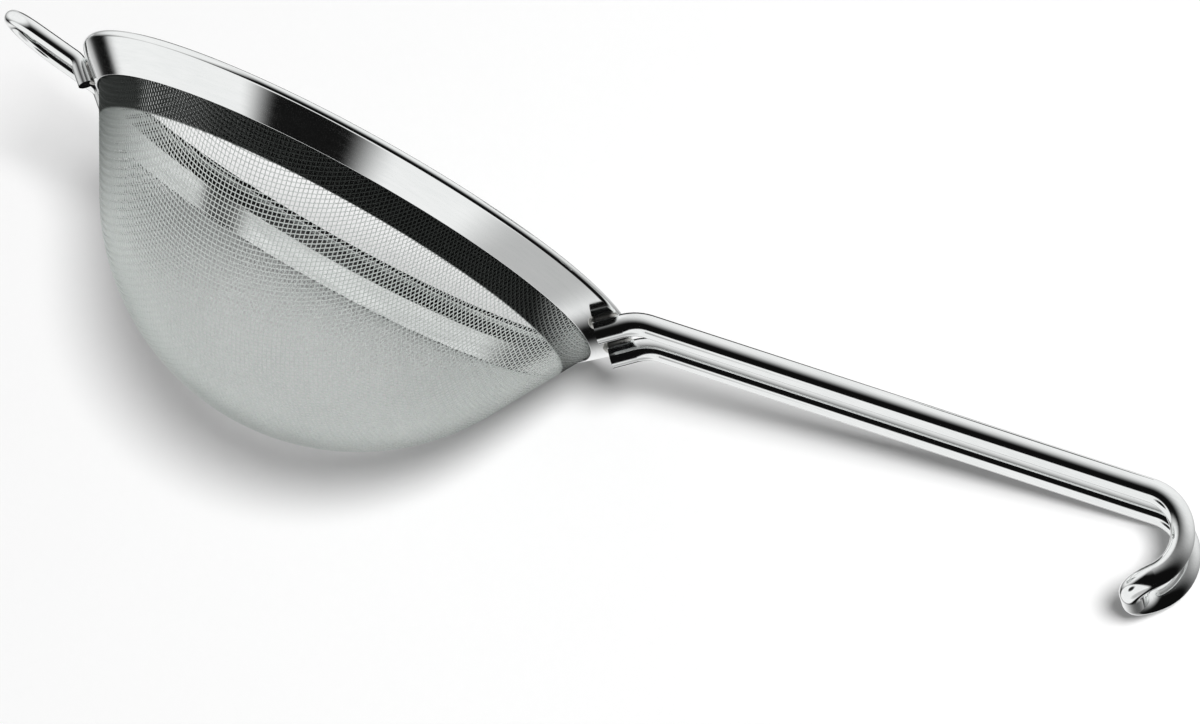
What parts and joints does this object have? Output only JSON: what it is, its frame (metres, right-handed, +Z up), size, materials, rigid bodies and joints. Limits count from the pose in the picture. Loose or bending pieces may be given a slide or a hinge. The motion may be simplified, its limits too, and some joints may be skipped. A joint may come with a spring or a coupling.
{
  "type": "tea strainer",
  "caption": "Round-bottomed woven wire strainer with a flared rim band, a double wire handle ending in a hook, and a wire rest loop opposite.",
  "frame": {"origin": "centre of the mouth, on the bowl's axis, level with the top of the rim", "axes": "+Z up along the bowl's axis, out of the mouth; +X from the bowl towards the handle; -X towards the rest loop"},
  "size_m": [0.1706, 0.0794, 0.0432],
  "materials": {
    "polished_sheet": "mirror polished stainless steel",
    "plain_sheet": "plain stainless steel strip",
    "woven_wire": "fine woven stainless wire",
    "bright_wire": "bright drawn stainless wire",
    "weld": "spot-welded seam, slightly dull"
  },
  "bodies": {
    "root": {"rim_band": "polished_sheet", "clamp_ring": "plain_sheet", "mesh_bowl": "woven_wire", "handle": "bright_wire", "rest_loop": "bright_wire", "handle_welds": "weld", "rest_loop_welds": "weld"}
  },
  "joints": []
}
